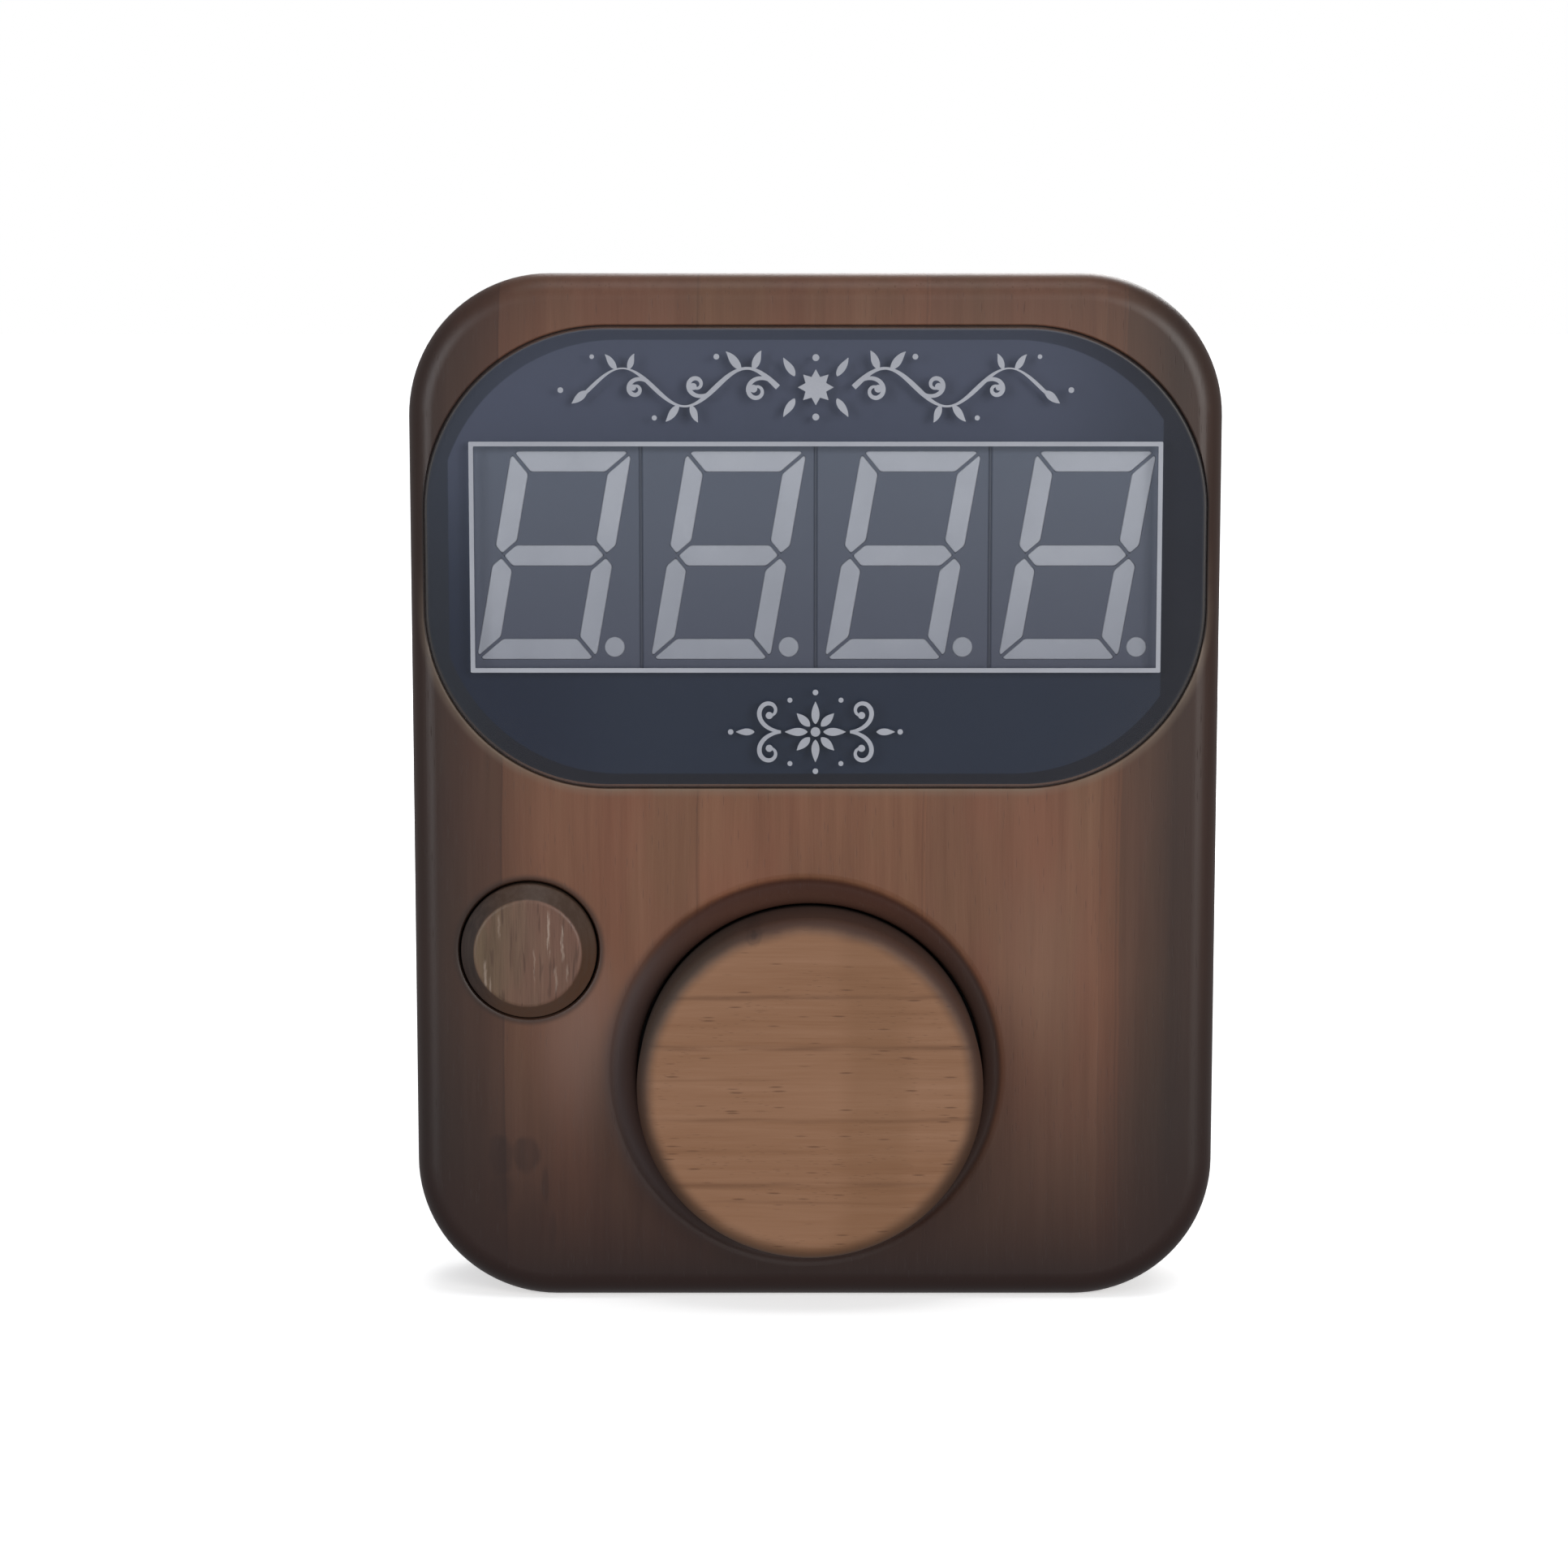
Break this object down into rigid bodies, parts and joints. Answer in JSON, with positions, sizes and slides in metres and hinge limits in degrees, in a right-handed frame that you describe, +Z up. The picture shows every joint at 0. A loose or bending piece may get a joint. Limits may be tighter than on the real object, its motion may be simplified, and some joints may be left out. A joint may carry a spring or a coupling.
{
  "type": "digital wall counter",
  "caption": "Wall-hung wooden counter with a seven-segment display behind a smoked panel, a large press button, a small reset button and a rear battery bay.",
  "frame": {"origin": "middle of the back face, in the plane of the wall", "axes": "+Z up, +X to the viewer's right, front facing -Y"},
  "size_m": [0.178, 0.058, 0.228],
  "materials": {
    "stained_wood": "satin lacquer",
    "pale_wood": "satin lacquer",
    "small_button_wood": "satin lacquer",
    "smoked_panel": "gloss",
    "module_face": "matte",
    "segment_lens": "satin",
    "panel_print": "matte ink",
    "circuit_board": "satin",
    "black_plastic": "moulded",
    "white_plastic": "moulded",
    "red_plastic": "moulded",
    "zinc_steel": "zinc plated",
    "spring_steel": "drawn wire",
    "fibreboard": "sealed",
    "cell_jacket": "satin",
    "wire_sheath": "satin"
  },
  "bodies": {
    "case": {"front_body": "stained_wood", "display_panel": "smoked_panel", "led_module_1": "module_face", "led_module_2": "module_face", "led_module_3": "module_face", "led_module_4": "module_face", "display_board": "circuit_board", "controller_chip": "black_plastic", "board_screw_1": "zinc_steel", "board_screw_2": "zinc_steel", "board_screw_3": "zinc_steel", "board_screw_4": "zinc_steel", "guide_screw_1": "zinc_steel", "guide_screw_2": "zinc_steel", "guide_screw_3": "zinc_steel", "guide_screw_4": "zinc_steel", "count_spring_1": "spring_steel", "count_spring_2": "spring_steel", "count_spring_3": "spring_steel", "count_spring_4": "spring_steel", "switch_bridge": "zinc_steel", "bridge_screw_1": "zinc_steel", "bridge_screw_2": "zinc_steel", "switch_board": "circuit_board", "count_switch": "black_plastic", "reset_switch": "black_plastic", "reset_spring": "spring_steel", "reset_board": "circuit_board", "reset_screw_1": "zinc_steel", "reset_screw_2": "zinc_steel", "back_cover": "fibreboard", "cover_screw_1": "zinc_steel", "cover_screw_2": "zinc_steel", "cover_screw_3": "zinc_steel", "cover_screw_4": "zinc_steel", "hanger_plate": "zinc_steel", "hanger_screw_1": "zinc_steel", "hanger_screw_2": "zinc_steel", "battery_tray": "black_plastic", "battery_1": "cell_jacket", "battery_2": "cell_jacket", "battery_3": "cell_jacket", "battery_4": "cell_jacket", "contact_upper": "spring_steel", "contact_lower": "spring_steel", "power_switch": "black_plastic", "battery_lead": "wire_sheath", "power_lead": "wire_sheath", "count_lead": "wire_sheath", "reset_lead": "wire_sheath"},
    "count_key": {"count_button": "pale_wood", "button_carrier": "black_plastic"},
    "count_arm": {"count_lever": "spring_steel"},
    "count_pin": {"count_plunger": "red_plastic"},
    "reset_key": {"reset_button": "small_button_wood", "reset_flange": "black_plastic", "reset_plunger": "white_plastic"},
    "door": {"battery_door": "black_plastic"},
    "power_key": {"power_slider": "white_plastic"}
  },
  "joints": [
    {"name": "count_press", "type": "slide", "parent": "case", "child": "count_key", "axis": [0, 1, 0], "range_m": [0, 0.003], "stiffness_N_per_m": 400, "springref_m": -0.006, "deforming": ["count_spring_1", "count_spring_2", "count_spring_3", "count_spring_4"]},
    {"name": "count_lever_turn", "type": "hinge", "parent": "case", "child": "count_arm", "pos_m": [0.0063, -0.02475, -0.0632], "axis": [0, 0, -1], "range_deg": [0, 16]},
    {"name": "count_pin_slide", "type": "slide", "parent": "case", "child": "count_pin", "axis": [0, 1, 0], "range_m": [0, 0.0016]},
    {"name": "reset_press", "type": "slide", "parent": "case", "child": "reset_key", "axis": [0, 1, 0], "range_m": [0, 0.002], "stiffness_N_per_m": 250, "springref_m": -0.004, "deforming": ["reset_spring"]},
    {"name": "door_swing", "type": "hinge", "parent": "case", "child": "door", "pos_m": [0, -0.0019, 0.0239], "axis": [-1, 0, 0], "range_deg": [0, 100]},
    {"name": "power_slide", "type": "slide", "parent": "case", "child": "power_key", "axis": [1, 0, 0], "range_m": [0, 0.004]}
  ],
  "couplings": [
    {"joint": "count_lever_turn", "follows": "count_press", "rad_per_m": 91.9},
    {"joint": "count_pin_slide", "follows": "count_press", "ratio": 0.5}
  ]
}
